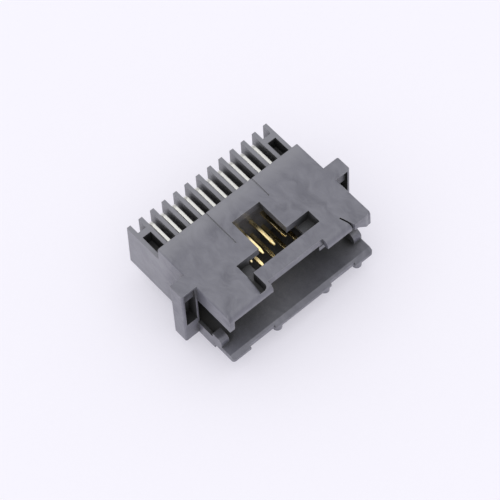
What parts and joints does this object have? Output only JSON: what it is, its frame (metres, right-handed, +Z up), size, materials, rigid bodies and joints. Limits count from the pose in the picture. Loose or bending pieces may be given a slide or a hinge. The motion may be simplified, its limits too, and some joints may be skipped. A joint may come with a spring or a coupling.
{
  "type": "pin header",
  "caption": "Right-angle shrouded pin header: a dark moulded socket with a T-shaped latch window, end ears, a rear comb of fins and two rows of bent square contacts.",
  "frame": {"origin": "on the board's surface, under the middle of the housing", "axes": "+X along the row of contacts, +Y from the mating face to the comb of fins, +Z up from the board"},
  "size_m": [0.0368, 0.0266, 0.0177],
  "materials": {
    "housing": "moulded polyester with a fine matt grain",
    "contact": "copper alloy, gold over the mating end and bright tin on the tail"
  },
  "bodies": {
    "root": {"housing": "housing", "contact_upper_01": "contact", "contact_upper_02": "contact", "contact_upper_03": "contact", "contact_upper_04": "contact", "contact_upper_05": "contact", "contact_upper_06": "contact", "contact_upper_07": "contact", "contact_upper_08": "contact", "contact_upper_09": "contact", "contact_upper_10": "contact", "contact_lower_01": "contact", "contact_lower_02": "contact", "contact_lower_03": "contact", "contact_lower_04": "contact", "contact_lower_05": "contact", "contact_lower_06": "contact", "contact_lower_07": "contact", "contact_lower_08": "contact", "contact_lower_09": "contact", "contact_lower_10": "contact"}
  },
  "joints": []
}
